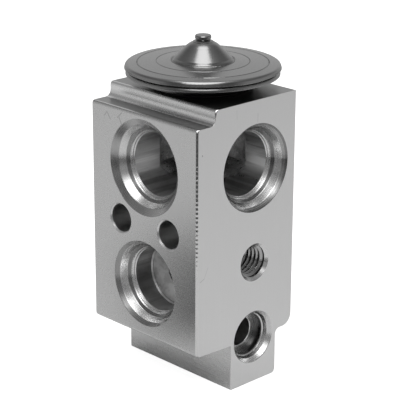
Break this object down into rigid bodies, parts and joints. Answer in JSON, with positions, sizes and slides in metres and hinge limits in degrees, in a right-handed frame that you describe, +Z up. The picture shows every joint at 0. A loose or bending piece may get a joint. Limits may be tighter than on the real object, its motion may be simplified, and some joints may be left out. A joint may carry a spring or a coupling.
{
  "type": "expansion valve",
  "caption": "Block-type refrigerant expansion valve: a machined aluminium block with return, outlet and inlet ports, and a steel diaphragm head that works a ball valve.",
  "frame": {"origin": "on the valve's own axis, in the plane of the tail's foot", "axes": "+Z up the valve axis from foot to head; -Y out of the front ports; -X out of the flange face"},
  "size_m": [0.0375, 0.037, 0.0827],
  "materials": {
    "block": "machined extrusion, fine saw and mill lines",
    "head_steel": "pressed and turned, satin",
    "plug_steel": "crimped, satin",
    "foil_steel": "rolled",
    "ball_steel": "polished",
    "spring_steel": "drawn wire",
    "rod_aluminium": "turned",
    "screw_brass": "turned",
    "seal_rubber": "moulded"
  },
  "bodies": {
    "block": {"valve_body": "block", "head_upper_case": "head_steel", "head_lower_case": "head_steel", "charge_plug": "plug_steel", "head_gasket": "seal_rubber", "diaphragm": "foil_steel", "rod_o_ring": "seal_rubber", "rod_seal_retainer": "foil_steel", "superheat_spring": "spring_steel"},
    "valve_train": {"diaphragm_plate": "foil_steel", "sensing_rod": "rod_aluminium", "push_pin": "foil_steel", "valve_ball": "ball_steel", "ball_carrier": "rod_aluminium", "carrier_damper": "spring_steel"},
    "adjuster_carriage": {"adjuster_o_ring": "seal_rubber"},
    "adjuster": {"adjusting_screw": "screw_brass"}
  },
  "joints": [
    {"name": "valve_stroke", "type": "slide", "parent": "block", "child": "valve_train", "axis": [0, 0, -1], "range_m": [0, 0.0008], "stiffness_N_per_m": 6000, "springref_m": -0.002, "deforming": ["superheat_spring"]},
    {"name": "adjuster_travel", "type": "slide", "parent": "block", "child": "adjuster_carriage", "axis": [0, 0, 1], "range_m": [-0.000416, 0.000416]},
    {"name": "adjuster_turn", "type": "hinge", "parent": "adjuster_carriage", "child": "adjuster", "pos_m": [0, 0, 0.0035], "axis": [0, 0, 1], "range_deg": [-150, 150]}
  ],
  "couplings": [
    {"joint": "adjuster_turn", "follows": "adjuster_travel", "rad_per_m": 6283.2}
  ]
}
